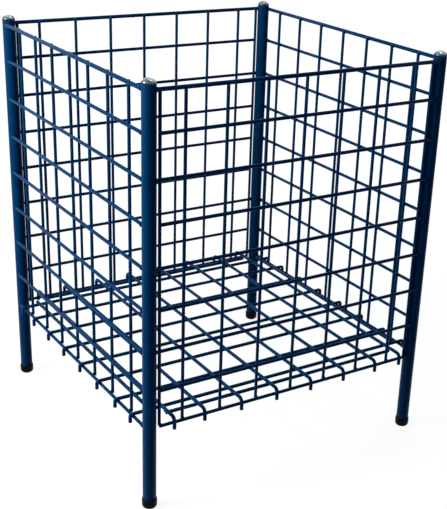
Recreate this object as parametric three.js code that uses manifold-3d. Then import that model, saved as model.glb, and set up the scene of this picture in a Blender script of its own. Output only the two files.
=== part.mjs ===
// A wire dump bin for a shop floor: four tube posts, four wire sides and a loose wire floor.
// Millimetres, +Z up. The origin lies on the ground, midway between the posts. The front faces -Y.

import * as THREE from "three";
import { mergeVertices } from "three/addons/utils/BufferGeometryUtils.js";
import Module from "manifold-3d";

// Posts: round steel tube, standing at the corners of a square measured at the tube axes.
const POST_SPACING = 600;
const POST_DIAMETER = 25;
const POST_WALL = 1.5;
const POST_LENGTH = 778;
const POST_FACETS = 24;

// Domed caps, pressed into the post tops.
const CAP_LIP = 1.5;
const CAP_DOME = 8;
const CAP_DOME_STEPS = 4;
const CAP_PLUG_LENGTH = 14;

// Cup feet, pushed over the post ends. The sole is the part between the tube and the ground.
const FOOT_HEIGHT = 20;
const FOOT_WALL = 1.4;
const FOOT_SOLE = 6;
const FOOT_EDGE_RADIUS = 8;
const FOOT_EDGE_STEPS = 5;

// Wire diameters.
const RIM_WIRE = 7.5;
const LEVEL_WIRE = 6.5;
const UPRIGHT_WIRE = 6;
const FLOOR_WIRE = 7;
const WIRE_FACETS = 8;

// Level wires of a side, from the rim just under the post tops down to the wire that carries the floor.
const RIM_DROP = 8;
const RIM_GAP = 70.5;
const LEVEL_PITCH = 77.2;
const CROSS_WIRE_COUNT = 7;
const BOTTOM_GAP = 71.3;

// Upright wires of a side. They stand outside the plane through the post axes, within the level wires.
const UPRIGHT_PITCH = 78.5;
const UPRIGHT_COUNT = 7;
const UPRIGHT_OFFSET = 3;
const UPRIGHT_OVERHANG = 1.5;

// The front and back end in a wire beside each post. Only their rim and two rows below it reach the posts.
const END_WIRE_TO_POST = 18;
const LEVEL_OVERHANG = 3;
const TIE_ROWS = [2, 6];

// Floor grid: hooked wires each way, hung over the bottom wires, and an edge wire inside every side.
const EDGE_WIRE_INSET = 26;
const SIDE_EDGE_OVERHANG = 2;
const LOWER_BEND = 5;
const UPPER_BEND = 9;
const BEND_STEPS = 5;
const HOOK_DROP = 9;

// Fits: gap of a push fit, of a wire end to its post, under the loose floor, and of a hook to its wire.
const PUSH_CLEARANCE = 0.3;
const WELD_CLEARANCE = 0.3;
const SEAT_CLEARANCE = 0.3;
const HOOK_CLEARANCE = 1.2;

// Depth that two crossing wires share where they are one piece.
const WELD_SINK = 0.5;

// Finishes.
const PAINT = { color: 0x0b3163, roughness: 0.38, metalness: 0.15 };
const ZINC = { color: 0xc4cace, roughness: 0.25, metalness: 0.9 };
const BLACK_PLASTIC = { color: 0x101214, roughness: 0.45, metalness: 0 };

const FULL_TURN = Math.PI * 2;
const QUARTER_TURN = Math.PI / 2;

// Places that follow from the sizes above.
const HALF_SPACING = POST_SPACING / 2;
const POST_RADIUS = POST_DIAMETER / 2;
const POST_TOP = FOOT_SOLE + POST_LENGTH;
const RIM_HEIGHT = POST_TOP - RIM_DROP;
const RIM_OFFSET = UPRIGHT_OFFSET + (UPRIGHT_WIRE + RIM_WIRE) / 2 - WELD_SINK;
const LEVEL_OFFSET = UPRIGHT_OFFSET + (UPRIGHT_WIRE + LEVEL_WIRE) / 2;
const END_WIRE_PLACE = HALF_SPACING - END_WIRE_TO_POST;
const LEVEL_HEIGHTS = levelHeights();
const BOTTOM_HEIGHT = LEVEL_HEIGHTS[LEVEL_HEIGHTS.length - 1];
const LOWER_FLOOR_HEIGHT = BOTTOM_HEIGHT + (LEVEL_WIRE + FLOOR_WIRE) / 2 + SEAT_CLEARANCE;
const UPPER_FLOOR_HEIGHT = LOWER_FLOOR_HEIGHT + FLOOR_WIRE;
const HOOK_REACH = HALF_SPACING + LEVEL_OFFSET + hookStep();
const HOOK_TIP = BOTTOM_HEIGHT - HOOK_DROP;
const EDGE_WIRE_PLACE = HALF_SPACING + LEVEL_OFFSET - EDGE_WIRE_INSET;

const wasm = await Module();
wasm.setup();

// Heights of a side's level wires: rim, cross wires at an even pitch, bottom wire.
function levelHeights() {
  const heights = [RIM_HEIGHT];
  for (let row = 0; row < CROSS_WIRE_COUNT; row += 1) {
    heights.push(RIM_HEIGHT - RIM_GAP - row * LEVEL_PITCH);
  }
  heights.push(heights[CROSS_WIRE_COUNT] - BOTTOM_GAP);
  return heights;
}

// Distance from a bottom wire's centre to the hook leg outside it. The bend starts past the wire's flat.
function hookStep() {
  const clearOfWire = (LEVEL_WIRE + FLOOR_WIRE) / 2 + HOOK_CLEARANCE;
  const flatHalf = (LEVEL_WIRE / 2) * Math.tan(Math.PI / WIRE_FACETS);
  return Math.max(clearOfWire, flatHalf + LOWER_BEND);
}

// Places of the uprights along a side, centred between its posts.
function uprightPlaces() {
  const places = [];
  for (let i = 0; i < UPRIGHT_COUNT; i += 1) {
    places.push((i - (UPRIGHT_COUNT - 1) / 2) * UPRIGHT_PITCH);
  }
  return places;
}

// Places of the hooked floor wires: through the middle of every gap between end wires and uprights.
function floorPlaces() {
  const bounds = [-END_WIRE_PLACE, ...uprightPlaces(), END_WIRE_PLACE];
  return bounds.slice(1).map((next, i) => (bounds[i] + next) / 2);
}

function asSolid(geometry) {
  const bare = geometry.clone();
  bare.deleteAttribute("normal");
  bare.deleteAttribute("uv");
  const merged = mergeVertices(bare);
  const vertProperties = new Float32Array(merged.attributes.position.array);
  const triVerts = new Uint32Array(merged.index.array);
  return new wasm.Manifold(new wasm.Mesh({ numProp: 3, vertProperties, triVerts }));
}

function asGeometry(solid) {
  const { vertProperties, triVerts } = solid.getMesh();
  const geometry = new THREE.BufferGeometry();
  geometry.setAttribute("position", new THREE.BufferAttribute(vertProperties, 3));
  geometry.setIndex(new THREE.BufferAttribute(triVerts, 1));
  geometry.computeVertexNormals();
  return geometry;
}

function joined(geometries) {
  const [first, ...rest] = geometries.map(asSolid);
  return rest.reduce((sum, solid) => sum.add(solid), first);
}

function part(name, geometry, finish) {
  const mesh = new THREE.Mesh(geometry, new THREE.MeshStandardMaterial(finish));
  mesh.name = name;
  return mesh;
}

// A turned piece: the profile holds radius and height pairs, and its axis stands upright.
function turned(profile) {
  const points = profile.map(([radius, height]) => new THREE.Vector2(radius, height));
  return new THREE.LatheGeometry(points, POST_FACETS).rotateX(QUARTER_TURN);
}

function postTube() {
  const bore = POST_RADIUS - POST_WALL;
  return turned([
    [bore, FOOT_SOLE],
    [POST_RADIUS, FOOT_SOLE],
    [POST_RADIUS, POST_TOP],
    [bore, POST_TOP],
    [bore, FOOT_SOLE],
  ]);
}

function postCap() {
  const plugRadius = POST_RADIUS - POST_WALL - PUSH_CLEARANCE;
  const profile = [
    [0, POST_TOP - CAP_PLUG_LENGTH],
    [plugRadius, POST_TOP - CAP_PLUG_LENGTH],
    [plugRadius, POST_TOP],
    [POST_RADIUS, POST_TOP],
  ];
  for (let i = 0; i < CAP_DOME_STEPS; i += 1) {
    const turn = (i / CAP_DOME_STEPS) * QUARTER_TURN;
    profile.push([POST_RADIUS * Math.cos(turn), POST_TOP + CAP_LIP + CAP_DOME * Math.sin(turn)]);
  }
  profile.push([0, POST_TOP + CAP_LIP + CAP_DOME]);
  return turned(profile);
}

function postFoot() {
  const cupRadius = POST_RADIUS + PUSH_CLEARANCE;
  const outerRadius = cupRadius + FOOT_WALL;
  const edgeCentre = outerRadius - FOOT_EDGE_RADIUS;
  const profile = [[0, 0]];
  for (let i = 0; i <= FOOT_EDGE_STEPS; i += 1) {
    const turn = (i / FOOT_EDGE_STEPS) * QUARTER_TURN;
    const radius = edgeCentre + FOOT_EDGE_RADIUS * Math.sin(turn);
    profile.push([radius, FOOT_EDGE_RADIUS * (1 - Math.cos(turn))]);
  }
  profile.push([outerRadius, FOOT_HEIGHT]);
  profile.push([cupRadius, FOOT_HEIGHT]);
  profile.push([cupRadius, FOOT_SOLE]);
  profile.push([0, FOOT_SOLE]);
  return turned(profile);
}

// Section of a wire: an even polygon with flats to the left, right, top and bottom, a diameter apart.
function wireSection(diameter) {
  const cornerRadius = diameter / 2 / Math.cos(Math.PI / WIRE_FACETS);
  const corners = [];
  for (let i = 0; i < WIRE_FACETS; i += 1) {
    const turn = ((i + 0.5) / WIRE_FACETS) * FULL_TURN;
    corners.push(new THREE.Vector2(cornerRadius * Math.cos(turn), cornerRadius * Math.sin(turn)));
  }
  return new THREE.Shape(corners);
}

// Centre line of a wire, as the stations where its section stands square to its heading.
class WirePath extends THREE.Curve {
  constructor(stations) {
    super();
    this.stations = stations;
  }

  stationAt(t) {
    return this.stations[Math.round(t * (this.stations.length - 1))];
  }

  getPoint(t) {
    return this.stationAt(t).point.clone();
  }

  getTangent(t) {
    return this.stationAt(t).heading.clone();
  }

  getUtoTmapping(u) {
    return u;
  }
}

function sweptWire(diameter, stations) {
  const extrudePath = new WirePath(stations);
  return new THREE.ExtrudeGeometry(wireSection(diameter), { steps: stations.length - 1, extrudePath });
}

function straightWire(diameter, from, to) {
  const heading = to.clone().sub(from).normalize();
  return sweptWire(diameter, [{ point: from, heading }, { point: to, heading }]);
}

// A floor wire along X: across at its height, then bent down at both ends into the hook legs.
function hookedWire(height, bend) {
  const right = [];
  for (let i = 0; i <= BEND_STEPS; i += 1) {
    const turn = (i / BEND_STEPS) * QUARTER_TURN;
    const across = HOOK_REACH - bend + bend * Math.sin(turn);
    right.push({
      point: new THREE.Vector3(across, 0, height - bend + bend * Math.cos(turn)),
      heading: new THREE.Vector3(Math.cos(turn), 0, -Math.sin(turn)),
    });
  }
  right.push({ point: new THREE.Vector3(HOOK_REACH, 0, HOOK_TIP), heading: new THREE.Vector3(0, 0, -1) });
  const left = right.map(({ point, heading }) => ({
    point: new THREE.Vector3(-point.x, 0, point.z),
    heading: new THREE.Vector3(heading.x, 0, -heading.z),
  }));
  return sweptWire(FLOOR_WIRE, [...left.reverse(), ...right]);
}

// Room that the end of a level wire leaves for the post it is welded to.
function postRoom(x, height) {
  const radius = (POST_RADIUS + WELD_CLEARANCE) / Math.cos(Math.PI / POST_FACETS);
  const room = new THREE.CylinderGeometry(radius, radius, 2 * RIM_WIRE, POST_FACETS);
  return asSolid(room.rotateX(QUARTER_TURN).translate(x, -HALF_SPACING, height));
}

// Every side is made as the front one. A level wire either meets both posts or stops at the end wires.
function levelWire(diameter, offset, height, meetsPosts) {
  const end = meetsPosts ? HALF_SPACING : END_WIRE_PLACE + LEVEL_OVERHANG;
  const from = new THREE.Vector3(-end, -HALF_SPACING - offset, height);
  const to = new THREE.Vector3(end, -HALF_SPACING - offset, height);
  const wire = asSolid(straightWire(diameter, from, to));
  const rooms = meetsPosts ? [postRoom(-HALF_SPACING, height), postRoom(HALF_SPACING, height)] : [];
  return rooms.reduce((rest, room) => rest.subtract(room), wire);
}

function uprightWire(x) {
  const y = -HALF_SPACING - UPRIGHT_OFFSET;
  const from = new THREE.Vector3(x, y, BOTTOM_HEIGHT - UPRIGHT_OVERHANG);
  const to = new THREE.Vector3(x, y, RIM_HEIGHT + UPRIGHT_OVERHANG);
  return straightWire(UPRIGHT_WIRE, from, to);
}

// The rim wire with the uprights fused to its inner face.
function rimAndUprights(isTied) {
  const endWires = isTied ? [-END_WIRE_PLACE, END_WIRE_PLACE] : [];
  const places = [...endWires, ...uprightPlaces()];
  const rim = levelWire(RIM_WIRE, RIM_OFFSET, RIM_HEIGHT, true);
  return asGeometry(rim.add(joined(places.map(uprightWire))));
}

function side(name, isTied) {
  const group = new THREE.Group();
  group.add(part(`${name}_rim_and_uprights`, rimAndUprights(isTied), PAINT));
  LEVEL_HEIGHTS.slice(1).forEach((height, i) => {
    const row = i + 1;
    const isBottom = row === LEVEL_HEIGHTS.length - 1;
    const wireName = isBottom ? `${name}_bottom_wire` : `${name}_cross_wire_${row}`;
    const meetsPosts = !isTied || TIE_ROWS.includes(row);
    group.add(part(wireName, asGeometry(levelWire(LEVEL_WIRE, LEVEL_OFFSET, height, meetsPosts)), PAINT));
  });
  return group;
}

function corner(name, x, y) {
  const group = new THREE.Group();
  group.add(part(`${name}_post`, postTube(), PAINT));
  group.add(part(`${name}_cap`, postCap(), ZINC));
  group.add(part(`${name}_foot`, postFoot(), BLACK_PLASTIC));
  group.position.set(x, y, 0);
  return group;
}

// The floor's upper wires run front to back, fused to a front and a back edge wire that lie under them.
function floorLongWires() {
  const places = floorPlaces();
  const wires = places.map((x) => {
    const wire = hookedWire(UPPER_FLOOR_HEIGHT, UPPER_BEND);
    return wire.rotateZ(QUARTER_TURN).translate(x, 0, 0);
  });
  const end = places[places.length - 1];
  for (const y of [-EDGE_WIRE_PLACE, EDGE_WIRE_PLACE]) {
    const height = LOWER_FLOOR_HEIGHT + WELD_SINK;
    const from = new THREE.Vector3(-end, y, height);
    const to = new THREE.Vector3(end, y, height);
    wires.push(straightWire(FLOOR_WIRE, from, to));
  }
  return asGeometry(joined(wires));
}

function floorSideEdge(x) {
  const places = floorPlaces();
  const end = places[places.length - 1] + SIDE_EDGE_OVERHANG;
  const from = new THREE.Vector3(x, -end, UPPER_FLOOR_HEIGHT);
  const to = new THREE.Vector3(x, end, UPPER_FLOOR_HEIGHT);
  return straightWire(FLOOR_WIRE, from, to);
}

function floor() {
  const group = new THREE.Group();
  group.add(part("floor_long_wires", floorLongWires(), PAINT));
  floorPlaces().forEach((y, i) => {
    const wire = hookedWire(LOWER_FLOOR_HEIGHT, LOWER_BEND).translate(0, y, 0);
    group.add(part(`floor_cross_wire_${i + 1}`, wire, PAINT));
  });
  group.add(part("floor_left_edge_wire", floorSideEdge(-EDGE_WIRE_PLACE), PAINT));
  group.add(part("floor_right_edge_wire", floorSideEdge(EDGE_WIRE_PLACE), PAINT));
  return group;
}

const bin = new THREE.Group();

bin.add(corner("front_left", -HALF_SPACING, -HALF_SPACING));
bin.add(corner("front_right", HALF_SPACING, -HALF_SPACING));
bin.add(corner("back_right", HALF_SPACING, HALF_SPACING));
bin.add(corner("back_left", -HALF_SPACING, HALF_SPACING));

// The front and back are tied to the posts of the left and right sides.
const SIDES = [["front", true], ["right", false], ["back", true], ["left", false]];
SIDES.forEach(([name, isTied], i) => {
  const group = side(name, isTied);
  group.rotation.z = i * QUARTER_TURN;
  bin.add(group);
});

bin.add(floor());

export default bin;
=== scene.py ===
"""Finished looks of a blue wire dump bin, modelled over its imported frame.

The posts, caps, feet, side wires and floor wires are made round and smooth in the places of the frame's
solids, with the welds that hold them together. Lengths are metres, +Z is up and the bin's front faces -Y.
"""

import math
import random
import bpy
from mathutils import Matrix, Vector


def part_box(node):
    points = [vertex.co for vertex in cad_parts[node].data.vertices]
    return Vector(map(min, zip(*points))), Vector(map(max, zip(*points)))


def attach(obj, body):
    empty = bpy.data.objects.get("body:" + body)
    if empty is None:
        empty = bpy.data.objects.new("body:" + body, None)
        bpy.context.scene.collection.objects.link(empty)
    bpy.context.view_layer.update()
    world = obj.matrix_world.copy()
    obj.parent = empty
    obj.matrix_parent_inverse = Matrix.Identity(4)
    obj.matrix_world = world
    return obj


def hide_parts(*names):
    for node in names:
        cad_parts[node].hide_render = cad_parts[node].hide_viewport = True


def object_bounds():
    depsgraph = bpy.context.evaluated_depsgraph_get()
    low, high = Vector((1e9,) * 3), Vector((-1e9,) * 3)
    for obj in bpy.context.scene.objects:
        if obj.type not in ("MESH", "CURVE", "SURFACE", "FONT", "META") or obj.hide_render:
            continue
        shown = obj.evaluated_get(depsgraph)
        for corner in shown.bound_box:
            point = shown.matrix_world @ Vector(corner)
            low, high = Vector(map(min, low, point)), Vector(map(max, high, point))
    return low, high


bl_info = {
    "name": "Wire Dump Bin",
    "version": (1, 0, 0),
    "blender": (4, 5, 0),
    "location": "View3D > Sidebar > Dump Bin",
    "description": "Models the posts, wires, welds and finishes of a wire dump bin",
    "category": "Add Mesh",
}

from collections import namedtuple

import bmesh
import bpy
from bpy.props import FloatProperty, FloatVectorProperty, IntProperty, PointerProperty
from mathutils import Matrix, Vector

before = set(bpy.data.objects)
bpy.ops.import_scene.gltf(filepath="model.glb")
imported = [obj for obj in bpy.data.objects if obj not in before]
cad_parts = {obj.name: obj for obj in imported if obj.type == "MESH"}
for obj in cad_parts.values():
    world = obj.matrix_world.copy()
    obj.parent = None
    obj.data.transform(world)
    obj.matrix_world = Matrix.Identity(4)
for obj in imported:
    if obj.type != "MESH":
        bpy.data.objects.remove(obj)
CAD_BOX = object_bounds()

CORNERS = ("front_left", "front_right", "back_right", "back_left")
QUARTER_TURNS = {"front": 0, "right": 1, "back": 2, "left": 3}
CROSS_ROWS = range(1, 8)
FLOOR_CROSS_WIRES = range(1, 9)
FULL_TURN = 2 * math.pi
QUARTER = math.pi / 2
MERGE_DISTANCE = 1e-6

# Turns past which an edge is rounded over or shaded sharp, and the faces across a rounded edge.
ROUNDED_LIMIT = math.radians(60)
SHARP_LIMIT = math.radians(62)
EDGE_STEPS = 2
SOLE_STEPS = 6

# Welds: faces round and along each, how far its size may shrink or grow, and the seeds of those changes.
WELD_SEGMENTS = 10
WELD_RINGS = 6
WELD_LEAST = 0.85
WELD_MOST = 1.12
SIDE_WELD_SEED = 3
FLOOR_WELD_SEED = 5

# Sockets of a Mix node that mixes colours.
MIX_AMOUNT, MIX_FIRST, MIX_SECOND, MIX_RESULT = 0, 6, 7, 2
WHITE = (1.0, 1.0, 1.0)

Bend = namedtuple("Bend", "centre axis")
Grain = namedtuple("Grain", "scale detail")


def middle(node):
    low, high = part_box(node)
    return (low + high) / 2


def extent(node):
    low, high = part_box(node)
    return high - low


# Places that the frame gives: the posts, the layers of a side and the two layers of the floor.
BIN_MIDDLE = (CAD_BOX[0] + CAD_BOX[1]) / 2
HALF_SPACING = middle("front_right_post").x
POST_RADIUS = extent("front_right_post").x / 2
POST_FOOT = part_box("front_right_post")[0].z
POST_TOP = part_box("front_right_post")[1].z
CAP_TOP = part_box("front_right_cap")[1].z
FOOT_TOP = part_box("front_right_foot")[1].z
FOOT_RADIUS = extent("front_right_foot").x / 2
LEVEL_RADIUS = extent("front_cross_wire_1").z / 2
FLOOR_RADIUS = extent("floor_cross_wire_1").y / 2
LEVEL_PLANE = -middle("front_cross_wire_1").y
RIM_FACE = -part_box("front_rim_and_uprights")[0].y
UPRIGHT_FACE = -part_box("front_rim_and_uprights")[1].y
UPRIGHT_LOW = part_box("front_rim_and_uprights")[0].z
RIM_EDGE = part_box("front_rim_and_uprights")[1].z
HOOK_TIP, HOOK_CROWN = (corner.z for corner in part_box("floor_long_wires"))
UPPER_FLOOR = HOOK_CROWN - FLOOR_RADIUS
LOWER_FLOOR = UPPER_FLOOR - 2 * FLOOR_RADIUS
HOOK_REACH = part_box("floor_long_wires")[1].y - FLOOR_RADIUS
SIDE_EDGE_PLACE = middle("floor_right_edge_wire").x
SIDE_EDGE_END = extent("floor_right_edge_wire").y / 2


def length(name, description, default):
    return FloatProperty(
        name=name,
        description=description,
        default=default,
        min=0.0,
        precision=4,
        subtype="DISTANCE",
        unit="LENGTH",
    )


def count(name, description, default, least):
    return IntProperty(name=name, description=description, default=default, min=least)


def colour(name, description, default):
    return FloatVectorProperty(
        name=name, description=description, default=default, size=3, min=0.0, max=1.0, subtype="COLOR"
    )


def share(name, description, default):
    return FloatProperty(
        name=name, description=description, default=default, min=0.0, max=1.0, subtype="FACTOR"
    )


def power(name, description, default):
    return FloatProperty(
        name=name, description=description, default=default, min=0.0, subtype="POWER", unit="POWER"
    )


def sun_strength(name, description, default):
    return FloatProperty(name=name, description=description, default=default, min=0.0)


def angle(name, description, degrees):
    return FloatProperty(name=name, description=description, default=math.radians(degrees), subtype="ANGLE")


def point(name, description, default):
    return FloatVectorProperty(
        name=name,
        description=description,
        default=default,
        size=3,
        precision=4,
        subtype="TRANSLATION",
        unit="LENGTH",
    )


def optical(name, description, millimetres):
    return FloatProperty(name=name, description=description, default=millimetres, subtype="DISTANCE_CAMERA")


def camera_shift(name, description, default):
    return FloatProperty(name=name, description=description, default=default, precision=4)


class DumpBinSizes(bpy.types.PropertyGroup):
    """Sizes that the frame's boxes don't show, and how finely round pieces are divided."""

    post_wall: length("Post wall", "Thickness of the post tube", 0.0015)
    post_seat: length("Post seat", "How near a welded wire end comes to the post's axis", 0.006)
    tube_edge: length("Tube edge", "Rounding of a post's ends", 0.0004)
    push_gap: length("Push gap", "Gap between a post and the cap or foot pushed on it", 0.0001)
    cap_plug: length("Cap plug", "Depth that a cap reaches into its post", 0.014)
    cap_lip: length("Cap lip", "Upright edge of a cap, below its dome", 0.0015)
    cap_chamfer: length("Cap chamfer", "Slope under a cap's upright edge", 0.0004)
    foot_sole: length("Foot sole", "Thickness of a foot under its post", 0.006)
    foot_edge: length("Foot edge", "Radius of a foot's lower edge", 0.008)
    foot_shoulder: length("Foot shoulder", "Height over which a foot draws in to its post", 0.0035)
    foot_lip: length("Foot lip", "Width of a foot's flat lip round the post", 0.00015)
    rim_radius: length("Rim radius", "Radius of the rim wire", 0.00375)
    upright_radius: length("Upright radius", "Radius of the upright wires", 0.003)
    upright_pitch: length("Upright pitch", "Distance between neighbouring uprights", 0.0785)
    upright_overhang: length("Upright overhang", "How far an upright runs past the outer wires' axes", 0.0015)
    end_wire_to_post: length("End wire to post", "From the front's end wire to the post beside it", 0.018)
    lower_bend: length("Lower bend", "Centre-line radius of the hooks under the cross wires' ends", 0.005)
    upper_bend: length("Upper bend", "Centre-line radius of the hooks of the long wires", 0.009)
    cut_edge: length("Cut edge", "Rounding of a wire's cut end", 0.0006)
    weld_width: length("Weld width", "Half the width of a spot weld between crossing wires", 0.0033)
    weld_depth: length("Weld depth", "Half the thickness of a spot weld between crossing wires", 0.0015)
    weld_shift: length("Weld shift", "From an outer wire's axis to the welds of the uprights' ends", 0.0017)
    bead_width: length("Bead width", "Half the width of the weld round a wire's end at a post", 0.0045)
    uprights: count("Uprights", "Uprights of a side, end wires left out", 7, 1)
    wire_sides: count("Wire sides", "Faces round a wire", 16, 8)
    tube_sides: count("Tube sides", "Faces round a post, cap or foot", 48, 12)
    bend_steps: count("Bend steps", "Faces along a hook's bend", 8, 2)
    dome_steps: count("Dome steps", "Faces from a cap's edge to its crown", 12, 3)
    shoulder_steps: count("Shoulder steps", "Faces up a foot's shoulder", 8, 3)


class DumpBinFinish(bpy.types.PropertyGroup):
    """Colours of the finishes."""

    paint: colour("Paint", "Powder coat where it is fresh", (0.0006, 0.031, 0.142))
    faded_paint: colour("Faded paint", "Powder coat where it has chalked a little", (0.0012, 0.043, 0.168))
    scuffed_paint: colour("Scuffed paint", "Powder coat rubbed through to its primer", (0.07, 0.09, 0.12))
    plating: colour("Plating", "Bright plating of the caps", (0.27, 0.33, 0.36))
    tarnish: colour("Tarnish", "Dulled plating of the caps", (0.05, 0.07, 0.07))
    # Grime and painted shade: the colour that darkens the caps towards their lip.
    grime_and_shade: colour("Grime", "Dirt gathered round the caps' edges", (0.018, 0.03, 0.034))
    rubber: colour("Foot", "Moulded black of the feet", (0.0018, 0.0021, 0.0025))
    rubbed_rubber: colour("Rubbed foot", "Feet where the floor has greyed them", (0.005, 0.0055, 0.006))


class DumpBinStage(bpy.types.PropertyGroup):
    """Floor, light and camera."""

    ground: share("Ground", "Paleness of the floor where it is seen", 0.25)
    ground_bounce: share("Ground bounce", "Paleness of the floor in the light that it throws back", 0.08)
    ground_lift: share("Ground lift", "Brightness that the camera sees in the floor besides its light", 0.89)
    ground_reach: length("Ground reach", "Half the width of the floor", 14.0)
    ground_near: length("Ground near", "How far from the bin's middle the floor begins to turn white", 0.7)
    ground_far: length("Ground far", "How far from the bin's middle the floor has turned white", 2.6)
    room_light: share("Room light", "Strength of the light from all round", 0.03)
    room_tint: colour("Room tint", "Colour of the light from all round", (0.7, 0.82, 1.0))
    key_place: point("Key place", "Where the large lamp on the left hangs", (-2.05, 0.2, 1.35))
    key_power: power("Key power", "Power of the large lamp on the left", 58.0)
    key_size: length("Key size", "Width of the large lamp on the left", 1.35)
    key_tint: colour("Key tint", "Colour of the large lamp on the left", (0.92, 1.0, 0.7))
    back_place: point("Back place", "Where the broad light behind the bin comes from", (1.6, 2.0, 1.6))
    back_strength: sun_strength("Back strength", "Strength of the broad light behind the bin", 1.1)
    back_width: angle("Back width", "Angle that the broad light behind the bin fills", 100.0)
    top_place: point("Top place", "Where the small lamp above the bin hangs", (0.45, -0.05, 2.9))
    top_power: power("Top power", "Power of the small lamp above the bin", 24.0)
    front_place: point("Front place", "Where the small lamp left of the camera hangs", (-2.06, -1.24, 1.0))
    front_power: power("Front power", "Power of the small lamp left of the camera", 16.0)
    small_lamp: length("Small lamp", "Radius of the two small lamps", 0.12)
    camera_place: point("Camera place", "Where the camera stands", (-1.0544, -1.7638, 1.1603))
    camera_tilt: angle("Camera tilt", "Turn of the camera up from straight down", 66.679)
    camera_roll: angle("Camera roll", "Turn of the camera about the level line ahead of it", -2.527)
    camera_heading: angle("Camera heading", "Turn of the camera about the upright", -33.321)
    lens: optical("Lens", "Focal length", 85.82)
    sensor: optical("Sensor", "Width of the sensor", 36.0)
    shift_x: camera_shift("Shift across", "Camera shift, as a share of the width", -0.1078)
    shift_y: camera_shift("Shift up", "Camera shift, as a share of the width", 0.0659)


class Signal:
    """An output of a node tree. Arithmetic on it adds Math nodes to the tree."""

    def __init__(self, shading, socket):
        self.shading = shading
        self.socket = socket

    def __add__(self, other):
        return self.shading.math("ADD", self, other)

    __radd__ = __add__

    def __sub__(self, other):
        return self.shading.math("SUBTRACT", self, other)

    def __rsub__(self, other):
        return self.shading.math("SUBTRACT", other, self)

    def __mul__(self, other):
        return self.shading.math("MULTIPLY", self, other)

    __rmul__ = __mul__


class Shading:
    """A node tree that is built from its sources to its output."""

    def __init__(self, owner):
        owner.use_nodes = True
        self.tree = owner.node_tree
        self.tree.nodes.clear()

    def node(self, kind, settings, inputs, output=0):
        """Adds a node, sets it, fills its sockets with values or links, and gives one of its outputs."""
        made = self.tree.nodes.new(kind)
        for name, value in settings.items():
            setattr(made, name, value)
        for name, value in inputs.items():
            if isinstance(value, Signal):
                self.tree.links.new(value.socket, made.inputs[name])
            else:
                made.inputs[name].default_value = value
        return Signal(self, made.outputs[output]) if made.outputs else None

    def math(self, operation, first, second):
        return self.node("ShaderNodeMath", {"operation": operation}, {0: first, 1: second})

    def place(self):
        return self.node("ShaderNodeTexCoord", {}, {}, "Object")

    def height(self, place):
        return self.node("ShaderNodeSeparateXYZ", {}, {"Vector": place}, "Z")

    def distance(self, place):
        return self.node("ShaderNodeVectorMath", {"operation": "LENGTH"}, {0: place}, "Value")

    def grain(self, place, grain):
        inputs = {"Vector": place, "Scale": grain.scale, "Detail": grain.detail}
        return self.node("ShaderNodeTexNoise", {}, inputs, "Fac")

    def stretched(self, place, scale):
        return self.node("ShaderNodeMapping", {"vector_type": "POINT"}, {"Vector": place, "Scale": scale})

    def rise(self, value, start, end):
        """Zero at start, one at end, even between them and held beyond them."""
        limits = {"Value": value, "From Min": start, "From Max": end}
        return self.node("ShaderNodeMapRange", {"clamp": True}, limits)

    def mixed(self, amount, first, second):
        inputs = {MIX_AMOUNT: amount, MIX_FIRST: first, MIX_SECOND: second}
        return self.node("ShaderNodeMix", {"data_type": "RGBA"}, inputs, MIX_RESULT)

    def bump(self, relief, depth, strength):
        return self.node("ShaderNodeBump", {}, {"Height": relief, "Distance": depth, "Strength": strength})

    def seen(self):
        """One for the rays that show the surroundings, zero for the rays that light the object."""
        kinds = ("Camera", "Glossy", "Transmission")
        rays = [self.node("ShaderNodeLightPath", {}, {}, f"Is {kind} Ray") for kind in kinds]
        return self.node("ShaderNodeClamp", {}, {"Value": rays[0] + rays[1] + rays[2]})

    def surface(self, inputs):
        bsdf = self.node("ShaderNodeBsdfPrincipled", {}, inputs)
        self.node("ShaderNodeOutputMaterial", {}, {"Surface": bsdf})


def opaque(values):
    return (*values, 1.0)


# Powder coat: drifts of chalking, the orange-peel skin, flecks of scuffing and where they show.
DRIFTS = Grain(scale=7.0, detail=3.0)
DRIFT_SPAN = (0.33, 0.75)
PEEL = Grain(scale=620.0, detail=2.0)
PEEL_DEPTH = 0.0001
PEEL_STRENGTH = 0.55
FLECKS = Grain(scale=170.0, detail=5.0)
FLECK_SPAN = (0.64, 0.72)
RIM_SCUFF_REACH = 0.025
RIM_SCUFFING = 0.6
GROUND_SCUFF_REACH = 0.11
GROUND_SCUFFING = 0.5
COAT_ROUGHNESS = 0.36
CHALK_ROUGHENING = 0.1
FLECK_ROUGHENING = 0.06
SCUFF_ROUGHENING = 0.12
COAT_GLOSS = 0.06
COAT_GLOSS_TINT = (0.06, 0.36, 1.0)


def powder_coat(finish, material):
    """Satin blue coat with an orange-peel skin, chalked in drifts, scuffed at the rim and near the ground."""
    shading = Shading(material)
    place = shading.place()
    height = shading.height(place)
    chalk = shading.rise(shading.grain(place, DRIFTS), *DRIFT_SPAN)
    peel = shading.grain(place, PEEL)
    flecks = shading.grain(place, FLECKS)
    near_rim = shading.rise(height, RIM_EDGE - RIM_SCUFF_REACH, RIM_EDGE)
    near_ground = shading.rise(height, FOOT_TOP + GROUND_SCUFF_REACH, FOOT_TOP)
    worn = near_rim * RIM_SCUFFING + near_ground * GROUND_SCUFFING
    scuffs = shading.rise(flecks, *FLECK_SPAN) * worn
    coat = shading.mixed(chalk, opaque(finish.paint), opaque(finish.faded_paint))
    skin = COAT_ROUGHNESS + chalk * CHALK_ROUGHENING + flecks * FLECK_ROUGHENING
    shading.surface(
        {
            "Base Color": shading.mixed(scuffs, coat, opaque(finish.scuffed_paint)),
            "Roughness": skin + scuffs * SCUFF_ROUGHENING,
            "Specular IOR Level": COAT_GLOSS,
            "Specular Tint": opaque(COAT_GLOSS_TINT),
            "Normal": shading.bump(peel, PEEL_DEPTH, PEEL_STRENGTH),
        }
    )
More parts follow.
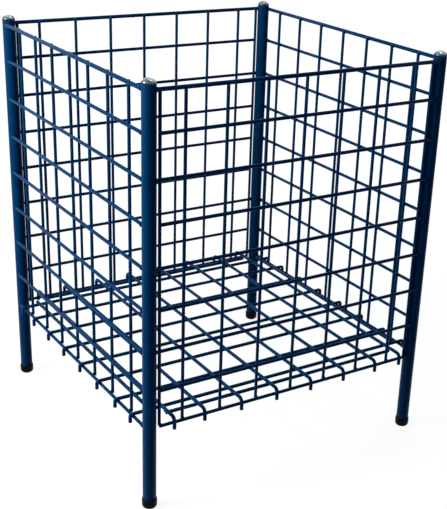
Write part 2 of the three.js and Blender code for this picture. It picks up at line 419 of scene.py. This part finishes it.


# Plating: patches of tarnish, rubbing marks and the ragged dark ring round the lip, which is grime and
# painted shade.
PATCHES = Grain(scale=150.0, detail=4.0)
PATCH_SPAN = (0.45, 0.62)
RUBS = Grain(scale=1.0, detail=3.0)
RUB_STRETCH = (300.0, 2600.0, 900.0)
RUB_DEPTH = 0.00005
RUB_STRENGTH = 0.3
GRIME_AND_SHADE_RAGGEDNESS = 0.5
GRIME_AND_SHADE_SPAN = (0.62, 0.2)
PLATING_ROUGHNESS = 0.12
TARNISH_ROUGHENING = 0.14
RUB_ROUGHENING = 0.08
GRIME_ROUGHENING = 0.1


def plated_steel(finish, material):
    """Bright plating with fine rubbing marks, patches of tarnish, and grime and painted shade that thin out
    up the dome.
    """
    shading = Shading(material)
    place = shading.place()
    height = shading.height(place)
    patches = shading.grain(place, PATCHES)
    rubs = shading.grain(shading.stretched(place, RUB_STRETCH), RUBS)
    dulled = shading.rise(patches, *PATCH_SPAN)
    ragged = patches * GRIME_AND_SHADE_RAGGEDNESS - GRIME_AND_SHADE_RAGGEDNESS / 2
    # Painted shade with grime: the dome darkens towards its lip, where the crease with the post meets it.
    grimy_and_shaded = shading.rise(shading.rise(height, POST_TOP, CAP_TOP) + ragged, *GRIME_AND_SHADE_SPAN)
    metal = shading.mixed(dulled, opaque(finish.plating), opaque(finish.tarnish))
    polish = PLATING_ROUGHNESS + dulled * TARNISH_ROUGHENING + rubs * RUB_ROUGHENING
    shading.surface(
        {
            "Base Color": shading.mixed(grimy_and_shaded, metal, opaque(finish.grime_and_shade)),
            "Roughness": polish + grimy_and_shaded * GRIME_ROUGHENING,
            "Metallic": 1.0,
            "Normal": shading.bump(rubs, RUB_DEPTH, RUB_STRENGTH),
        }
    )


# Feet: the spark-worked grain of the mould, smears, and the greyed edge at the floor.
SPARKS = Grain(scale=1400.0, detail=2.0)
SPARK_DEPTH = 0.00004
SPARK_STRENGTH = 0.3
SMEARS = Grain(scale=210.0, detail=4.0)
SMEAR_SPAN = (0.6, 0.76)
SMEARING = 0.3
RUBBED_HEIGHT = 0.006
RUBBING = 0.7
FOOT_ROUGHNESS = 0.16
SMEAR_ROUGHENING = 0.1
RUBBED_ROUGHENING = 0.25
FOOT_GLOSS = 0.05


def moulded_black(finish, material):
    """Black moulded foot with a fine spark-worked grain, greyed where it meets the floor."""
    shading = Shading(material)
    place = shading.place()
    height = shading.height(place)
    sparks = shading.grain(place, SPARKS)
    smears = shading.grain(place, SMEARS)
    greyed = shading.rise(height, RUBBED_HEIGHT, 0.0) * RUBBING
    rubbed = greyed + shading.rise(smears, *SMEAR_SPAN) * SMEARING
    shading.surface(
        {
            "Base Color": shading.mixed(rubbed, opaque(finish.rubber), opaque(finish.rubbed_rubber)),
            "Roughness": FOOT_ROUGHNESS + smears * SMEAR_ROUGHENING + rubbed * RUBBED_ROUGHENING,
            "Specular IOR Level": FOOT_GLOSS,
            "Normal": shading.bump(sparks, SPARK_DEPTH, SPARK_STRENGTH),
        }
    )


FINISHES = {"blue_paint": powder_coat, "bright_cap": plated_steel, "black_foot": moulded_black}


def finish_material(context, slot):
    """The material of a finish slot, made when it is first asked for."""
    material = bpy.data.materials.get(f"finished_{slot}")
    if material is None:
        material = bpy.data.materials.new(f"finished_{slot}")
        FINISHES[slot](context.scene.dump_bin_finish, material)
    return material


def add_piece(context, name, mesh, body, slot, nodes=()):
    """Turns a bmesh into a finished piece that rides on a body and stands for frame nodes."""
    bmesh.ops.recalc_face_normals(mesh, faces=mesh.faces)
    data = bpy.data.meshes.new(name)
    mesh.to_mesh(data)
    mesh.free()
    data.shade_smooth()
    data.set_sharp_from_angle(angle=SHARP_LIMIT)
    data.materials.append(finish_material(context, slot))
    piece = bpy.data.objects.new(name, data)
    context.scene.collection.objects.link(piece)
    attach(piece, body)
    if nodes:
        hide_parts(*nodes)
    return piece


def round_over(mesh, edges, radius, segments):
    bmesh.ops.bevel(
        mesh,
        geom=edges,
        offset=radius,
        offset_type="OFFSET",
        segments=segments,
        profile=0.5,
        affect="EDGES",
        material=-1,
    )


def turned(profile, sides, closed=False):
    """Spins a profile of radius and height pairs round the Z axis."""
    mesh = bmesh.new()
    verts = [mesh.verts.new((radius, 0.0, height)) for radius, height in profile]
    ring = verts + verts[:1] if closed else verts
    edges = [mesh.edges.new(pair) for pair in zip(ring, ring[1:])]
    bmesh.ops.spin(
        mesh,
        geom=verts + edges,
        cent=(0, 0, 0),
        axis=(0, 0, 1),
        dvec=(0, 0, 0),
        angle=FULL_TURN,
        steps=sides,
        use_merge=True,
        use_duplicate=False,
    )
    bmesh.ops.remove_doubles(mesh, verts=mesh.verts, dist=MERGE_DISTANCE)
    bmesh.ops.recalc_face_normals(mesh, faces=mesh.faces)
    return mesh


def stand_at(mesh, node):
    place = middle(node)
    bmesh.ops.translate(mesh, verts=mesh.verts, vec=(place.x, place.y, 0))


def sharp_edges(mesh):
    return [edge for edge in mesh.edges if edge.is_manifold and edge.calc_face_angle() > ROUNDED_LIMIT]


def edges_among(verts):
    """Edges whose two ends are both among the verts, in a steady order."""
    inside = set(verts)
    found = {edge: None for vert in verts for edge in vert.link_edges if inside.issuperset(edge.verts)}
    return list(found)


def draw_wire(mesh, sizes, radius, start, moves):
    """Draws a round wire from start: a vector among the moves is a straight run, a Bend is a quarter turn."""
    aim = moves[0].to_track_quat("Z", "Y").to_matrix().to_4x4()
    ring = bmesh.ops.create_circle(
        mesh, cap_ends=False, segments=sizes.wire_sides, radius=radius, matrix=Matrix.Translation(start) @ aim
    )
    first = edges_among(ring["verts"])
    last = first
    for move in moves:
        if isinstance(move, Bend):
            made = bmesh.ops.spin(
                mesh,
                geom=last,
                cent=move.centre,
                axis=move.axis,
                dvec=(0, 0, 0),
                angle=QUARTER,
                steps=sizes.bend_steps,
                use_merge=False,
                use_duplicate=False,
            )
            last = [item for item in made["geom_last"] if isinstance(item, bmesh.types.BMEdge)]
        else:
            made = bmesh.ops.extrude_edge_only(mesh, edges=last)["geom"]
            far = [item for item in made if isinstance(item, bmesh.types.BMVert)]
            bmesh.ops.translate(mesh, verts=far, vec=move)
            last = edges_among(far)
    for rim in (first, last):
        bmesh.ops.edgeloop_fill(mesh, edges=rim)
        round_over(mesh, rim, sizes.cut_edge, EDGE_STEPS)


def turn_to_side(mesh, side):
    matrix = Matrix.Rotation(QUARTER_TURNS[side] * QUARTER, 3, "Z")
    bmesh.ops.rotate(mesh, cent=(0, 0, 0), matrix=matrix, verts=mesh.verts)


def upright_places(sizes):
    return [(i - (sizes.uprights - 1) / 2) * sizes.upright_pitch for i in range(sizes.uprights)]


def end_wire_places(sizes, side):
    place = HALF_SPACING - sizes.end_wire_to_post
    return [-place, place] if side in ("front", "back") else []


def floor_places(sizes):
    """Hooked floor wires pass through the middle of every gap between uprights."""
    end = HALF_SPACING - sizes.end_wire_to_post
    stops = [-end, *upright_places(sizes), end]
    return [(here + beyond) / 2 for here, beyond in zip(stops, stops[1:])]


def rim_height(sizes):
    return RIM_EDGE - sizes.rim_radius


def level_nodes(side):
    return [f"{side}_cross_wire_{row}" for row in CROSS_ROWS] + [f"{side}_bottom_wire"]


def level_rows(sizes, side):
    """Height and half-length of each level wire of a side, rim first. A welded wire ends inside its posts."""
    in_post = HALF_SPACING - sizes.post_seat
    rows = [(rim_height(sizes), in_post)]
    for node in level_nodes(side):
        half = max(extent(node)) / 2
        rows.append((middle(node).z, in_post if half > HALF_SPACING - POST_RADIUS else half))
    return rows


def add_weld(mesh, centre, radii, wander):
    """A small lump of weld, its size left a little uneven."""
    scale = Matrix.Diagonal([radius * wander.uniform(WELD_LEAST, WELD_MOST) for radius in radii]).to_4x4()
    place = Matrix.Translation(centre) @ scale
    bmesh.ops.create_uvsphere(
        mesh, u_segments=WELD_SEGMENTS, v_segments=WELD_RINGS, radius=1.0, matrix=place
    )


class DUMPBIN_OT_posts(bpy.types.Operator):
    """Add the four tube posts"""

    bl_idname = "dump_bin.posts"
    bl_label = "Posts"

    def execute(self, context):
        sizes = context.scene.dump_bin_sizes
        bore = POST_RADIUS - sizes.post_wall
        profile = [(bore, POST_FOOT), (POST_RADIUS, POST_FOOT), (POST_RADIUS, POST_TOP), (bore, POST_TOP)]
        for corner in CORNERS:
            node = f"{corner}_post"
            mesh = turned(profile, sizes.tube_sides, closed=True)
            round_over(mesh, sharp_edges(mesh), sizes.tube_edge, EDGE_STEPS)
            stand_at(mesh, node)
            add_piece(context, f"finished_{node}", mesh, "frame", "blue_paint", [node])
        return {"FINISHED"}


class DUMPBIN_OT_caps(bpy.types.Operator):
    """Add the domed caps in the post tops"""

    bl_idname = "dump_bin.caps"
    bl_label = "Caps"

    def execute(self, context):
        sizes = context.scene.dump_bin_sizes
        plug = POST_RADIUS - sizes.post_wall - sizes.push_gap
        plug_end = POST_TOP - sizes.cap_plug
        seat = POST_TOP + sizes.push_gap
        dome_foot = POST_TOP + sizes.cap_lip
        profile = [(0.0, plug_end), (plug, plug_end), (plug, seat)]
        profile += [(POST_RADIUS - sizes.cap_chamfer, seat), (POST_RADIUS, seat + sizes.cap_chamfer)]
        for i in range(sizes.dome_steps):
            turn = QUARTER * i / sizes.dome_steps
            height = dome_foot + (CAP_TOP - dome_foot) * math.sin(turn)
            profile.append((POST_RADIUS * math.cos(turn), height))
        profile.append((0.0, CAP_TOP))
        for corner in CORNERS:
            node = f"{corner}_cap"
            mesh = turned(profile, sizes.tube_sides)
            stand_at(mesh, node)
            add_piece(context, f"finished_{node}", mesh, "frame", "bright_cap", [node])
        return {"FINISHED"}


class DUMPBIN_OT_feet(bpy.types.Operator):
    """Add the black cup feet"""

    bl_idname = "dump_bin.feet"
    bl_label = "Feet"

    def execute(self, context):
        sizes = context.scene.dump_bin_sizes
        cup = POST_RADIUS + sizes.push_gap
        lip = cup + sizes.foot_lip
        profile = [(0.0, 0.0), (FOOT_RADIUS, 0.0)]
        for i in range(sizes.shoulder_steps + 1):
            turn = QUARTER * i / sizes.shoulder_steps
            height = FOOT_TOP - sizes.foot_shoulder * (1.0 - math.sin(turn))
            profile.append((lip + (FOOT_RADIUS - lip) * math.cos(turn), height))
        profile += [(cup, FOOT_TOP), (cup, sizes.foot_sole), (0.0, sizes.foot_sole)]
        for corner in CORNERS:
            node = f"{corner}_foot"
            mesh = turned(profile, sizes.tube_sides)
            round_over(mesh, self.sole_edge(mesh), sizes.foot_edge, SOLE_STEPS)
            stand_at(mesh, node)
            add_piece(context, f"finished_{node}", mesh, "frame", "black_foot", [node])
        return {"FINISHED"}

    def sole_edge(self, mesh):
        """The sharp edges that lie on the ground."""
        edges = sharp_edges(mesh)
        return [edge for edge in edges if max(vert.co.z for vert in edge.verts) < MERGE_DISTANCE]


class DUMPBIN_OT_rims(bpy.types.Operator):
    """Add each side's rim wire with its uprights"""

    bl_idname = "dump_bin.rims"
    bl_label = "Rims and uprights"

    def execute(self, context):
        sizes = context.scene.dump_bin_sizes
        rise = rim_height(sizes) + sizes.upright_overhang - UPRIGHT_LOW
        rim_plane = RIM_FACE - sizes.rim_radius
        upright_plane = UPRIGHT_FACE + sizes.upright_radius
        for side in QUARTER_TURNS:
            node = f"{side}_rim_and_uprights"
            mesh = bmesh.new()
            height, end = level_rows(sizes, side)[0]
            start = Vector((-end, -rim_plane, height))
            draw_wire(mesh, sizes, sizes.rim_radius, start, [Vector((2 * end, 0, 0))])
            for x in upright_places(sizes) + end_wire_places(sizes, side):
                start = Vector((x, -upright_plane, UPRIGHT_LOW))
                draw_wire(mesh, sizes, sizes.upright_radius, start, [Vector((0, 0, rise))])
            turn_to_side(mesh, side)
            add_piece(context, f"finished_{node}", mesh, "frame", "blue_paint", [node])
        return {"FINISHED"}


class DUMPBIN_OT_level_wires(bpy.types.Operator):
    """Add the cross wires and bottom wires of the sides"""

    bl_idname = "dump_bin.level_wires"
    bl_label = "Level wires"

    def execute(self, context):
        sizes = context.scene.dump_bin_sizes
        for side in QUARTER_TURNS:
            for node, (height, end) in zip(level_nodes(side), level_rows(sizes, side)[1:]):
                mesh = bmesh.new()
                start = Vector((-end, -LEVEL_PLANE, height))
                draw_wire(mesh, sizes, LEVEL_RADIUS, start, [Vector((2 * end, 0, 0))])
                turn_to_side(mesh, side)
                add_piece(context, f"finished_{node}", mesh, "frame", "blue_paint", [node])
        return {"FINISHED"}


class DUMPBIN_OT_side_welds(bpy.types.Operator):
    """Add the spot welds of the sides and the welds that hold level wires to the posts"""

    bl_idname = "dump_bin.side_welds"
    bl_label = "Side welds"

    def execute(self, context):
        sizes = context.scene.dump_bin_sizes
        wander = random.Random(SIDE_WELD_SEED)
        spot = (sizes.weld_width, sizes.weld_depth, sizes.weld_width)
        bead = (sizes.weld_width, sizes.bead_width, sizes.bead_width)
        post_face = HALF_SPACING - math.sqrt(POST_RADIUS**2 - (LEVEL_PLANE - HALF_SPACING) ** 2)
        for side in QUARTER_TURNS:
            rows = level_rows(sizes, side)
            shifts = [-sizes.weld_shift] + [0.0] * len(CROSS_ROWS) + [sizes.weld_shift]
            mesh = bmesh.new()
            for (height, end), shift in zip(rows, shifts):
                for x in upright_places(sizes) + end_wire_places(sizes, side):
                    add_weld(mesh, Vector((x, LEVEL_RADIUS - LEVEL_PLANE, height + shift)), spot, wander)
                if end > HALF_SPACING - POST_RADIUS:
                    for x in (-post_face, post_face):
                        add_weld(mesh, Vector((x, -LEVEL_PLANE, height)), bead, wander)
            turn_to_side(mesh, side)
            add_piece(context, f"{side}_welds", mesh, "frame", "blue_paint")
        return {"FINISHED"}


class DUMPBIN_OT_floor_wires(bpy.types.Operator):
    """Add the loose floor's hooked wires, edge wires and spot welds"""

    bl_idname = "dump_bin.floor_wires"
    bl_label = "Floor"

    def execute(self, context):
        sizes = context.scene.dump_bin_sizes
        places = floor_places(sizes)
        mesh = bmesh.new()
        for x in places:
            self.draw_hooked(mesh, sizes, UPPER_FLOOR, sizes.upper_bend, -x)
        turn = Matrix.Rotation(QUARTER, 3, "Z")
        bmesh.ops.rotate(mesh, cent=(0, 0, 0), matrix=turn, verts=mesh.verts)
        for y in (-SIDE_EDGE_PLACE, SIDE_EDGE_PLACE):
            start = Vector((places[0], y, LOWER_FLOOR))
            draw_wire(mesh, sizes, FLOOR_RADIUS, start, [Vector((places[-1] - places[0], 0, 0))])
        add_piece(context, "finished_floor_long_wires", mesh, "floor", "blue_paint", ["floor_long_wires"])
        for i, y in zip(FLOOR_CROSS_WIRES, places):
            node = f"floor_cross_wire_{i}"
            mesh = bmesh.new()
            self.draw_hooked(mesh, sizes, LOWER_FLOOR, sizes.lower_bend, y)
            add_piece(context, f"finished_{node}", mesh, "floor", "blue_paint", [node])
        for name, x in (("left", -SIDE_EDGE_PLACE), ("right", SIDE_EDGE_PLACE)):
            node = f"floor_{name}_edge_wire"
            mesh = bmesh.new()
            start = Vector((x, -SIDE_EDGE_END, UPPER_FLOOR))
            draw_wire(mesh, sizes, FLOOR_RADIUS, start, [Vector((0, 2 * SIDE_EDGE_END, 0))])
            add_piece(context, f"finished_{node}", mesh, "floor", "blue_paint", [node])
        add_piece(context, "floor_welds", self.spot_welds(sizes, places), "floor", "blue_paint")
        return {"FINISHED"}

    def draw_hooked(self, mesh, sizes, height, bend, y):
        """A wire along X, bent down at both ends into hooks over the bottom wires."""
        leg = Vector((0, 0, height - bend - HOOK_TIP))
        inner = HOOK_REACH - bend
        moves = [
            leg,
            Bend(Vector((-inner, y, height - bend)), (0, 1, 0)),
            Vector((2 * inner, 0, 0)),
            Bend(Vector((inner, y, height - bend)), (0, 1, 0)),
            -leg,
        ]
        draw_wire(mesh, sizes, FLOOR_RADIUS, Vector((-HOOK_REACH, y, HOOK_TIP)), moves)

    def spot_welds(self, sizes, places):
        wander = random.Random(FLOOR_WELD_SEED)
        spot = (sizes.weld_width, sizes.weld_width, sizes.weld_depth)
        height = (UPPER_FLOOR + LOWER_FLOOR) / 2
        edges = [-SIDE_EDGE_PLACE, SIDE_EDGE_PLACE]
        crossings = [(x, y) for x in places + edges for y in places] + [(x, y) for x in places for y in edges]
        mesh = bmesh.new()
        for x, y in crossings:
            add_weld(mesh, Vector((x, y, height)), spot, wander)
        return mesh


class DUMPBIN_OT_stage(bpy.types.Operator):
    """Add the pale floor, the soft light and the camera"""

    bl_idname = "dump_bin.stage"
    bl_label = "Stage"

    def execute(self, context):
        scene = context.scene
        stage = scene.dump_bin_stage
        scene.view_settings.view_transform = "Standard"
        self.add_ground(scene, stage)
        self.add_room(scene, stage)
        key = {"energy": stage.key_power, "color": stage.key_tint, "shape": "DISK", "size": stage.key_size}
        self.add_lamp(scene, "key_light", "AREA", stage.key_place, key)
        back = {"energy": stage.back_strength, "color": stage.room_tint, "angle": stage.back_width}
        self.add_lamp(scene, "back_light", "SUN", stage.back_place, back)
        top = {"energy": stage.top_power, "shadow_soft_size": stage.small_lamp}
        self.add_lamp(scene, "top_light", "POINT", stage.top_place, top)
        front = {"energy": stage.front_power, "shadow_soft_size": stage.small_lamp}
        self.add_lamp(scene, "front_light", "POINT", stage.front_place, front)
        self.add_camera(scene, stage)
        return {"FINISHED"}

    def add_ground(self, scene, stage):
        mesh = bmesh.new()
        bmesh.ops.create_grid(mesh, x_segments=1, y_segments=1, size=stage.ground_reach)
        data = bpy.data.meshes.new("ground")
        mesh.to_mesh(data)
        mesh.free()
        material = bpy.data.materials.new("pale_ground")
        shading = Shading(material)
        seen = shading.seen()
        paleness = seen * (stage.ground - stage.ground_bounce) + stage.ground_bounce
        lit = shading.node("ShaderNodeBsdfDiffuse", {}, {"Color": paleness})
        away = shading.rise(shading.distance(shading.place()), stage.ground_near, stage.ground_far)
        lift = away * (1.0 - stage.ground_lift) + stage.ground_lift
        glow = shading.node("ShaderNodeEmission", {}, {"Strength": seen * lift})
        both = shading.node("ShaderNodeAddShader", {}, {0: lit, 1: glow})
        shading.node("ShaderNodeOutputMaterial", {}, {"Surface": both})
        data.materials.append(material)
        ground = bpy.data.objects.new("ground", data)
        scene.collection.objects.link(ground)

    def add_room(self, scene, stage):
        scene.world = bpy.data.worlds.new("room")
        shading = Shading(scene.world)
        seen = shading.seen()
        tint = shading.mixed(seen, opaque(stage.room_tint), opaque(WHITE))
        level = seen * (1.0 - stage.room_light) + stage.room_light
        light = shading.node("ShaderNodeBackground", {}, {"Color": tint, "Strength": level})
        shading.node("ShaderNodeOutputWorld", {}, {"Surface": light})

    def add_lamp(self, scene, name, kind, place, settings):
        """A lamp at a place, facing the middle of the bin."""
        data = bpy.data.lights.new(name, kind)
        for setting, value in settings.items():
            setattr(data, setting, value)
        lamp = bpy.data.objects.new(name, data)
        lamp.location = place
        lamp.rotation_euler = (BIN_MIDDLE - Vector(place)).to_track_quat("-Z", "Y").to_euler()
        lamp.visible_camera = False
        scene.collection.objects.link(lamp)

    def add_camera(self, scene, stage):
        data = bpy.data.cameras.new("camera")
        data.lens = stage.lens
        data.sensor_fit = "HORIZONTAL"
        data.sensor_width = stage.sensor
        data.shift_x = stage.shift_x
        data.shift_y = stage.shift_y
        camera = bpy.data.objects.new("camera", data)
        camera.location = stage.camera_place
        camera.rotation_euler = (stage.camera_tilt, stage.camera_roll, stage.camera_heading)
        scene.collection.objects.link(camera)
        scene.camera = camera


class DUMPBIN_PT_panel(bpy.types.Panel):
    """Lists the bin's pieces in the sidebar"""

    bl_idname = "DUMPBIN_PT_panel"
    bl_label = "Dump Bin"
    bl_space_type = "VIEW_3D"
    bl_region_type = "UI"
    bl_category = "Dump Bin"

    def draw(self, context):
        for operator in OPERATORS:
            self.layout.operator(operator.bl_idname)
        for group in GROUPS:
            values = getattr(context.scene, group)
            box = self.layout.box()
            for name in values.__annotations__:
                box.prop(values, name)


GROUPS = {"dump_bin_sizes": DumpBinSizes, "dump_bin_finish": DumpBinFinish, "dump_bin_stage": DumpBinStage}
OPERATORS = (
    DUMPBIN_OT_posts,
    DUMPBIN_OT_caps,
    DUMPBIN_OT_feet,
    DUMPBIN_OT_rims,
    DUMPBIN_OT_level_wires,
    DUMPBIN_OT_side_welds,
    DUMPBIN_OT_floor_wires,
    DUMPBIN_OT_stage,
)


def register():
    for cls in (*GROUPS.values(), *OPERATORS, DUMPBIN_PT_panel):
        bpy.utils.register_class(cls)
    for name, group in GROUPS.items():
        setattr(bpy.types.Scene, name, PointerProperty(type=group))


def unregister():
    for name in GROUPS:
        delattr(bpy.types.Scene, name)
    for cls in reversed((*GROUPS.values(), *OPERATORS, DUMPBIN_PT_panel)):
        bpy.utils.unregister_class(cls)


def main():
    register()
    bpy.ops.dump_bin.posts()
    bpy.ops.dump_bin.caps()
    bpy.ops.dump_bin.feet()
    bpy.ops.dump_bin.rims()
    bpy.ops.dump_bin.level_wires()
    bpy.ops.dump_bin.side_welds()
    bpy.ops.dump_bin.floor_wires()
    bpy.ops.dump_bin.stage()


if __name__ == "__main__":
    main()
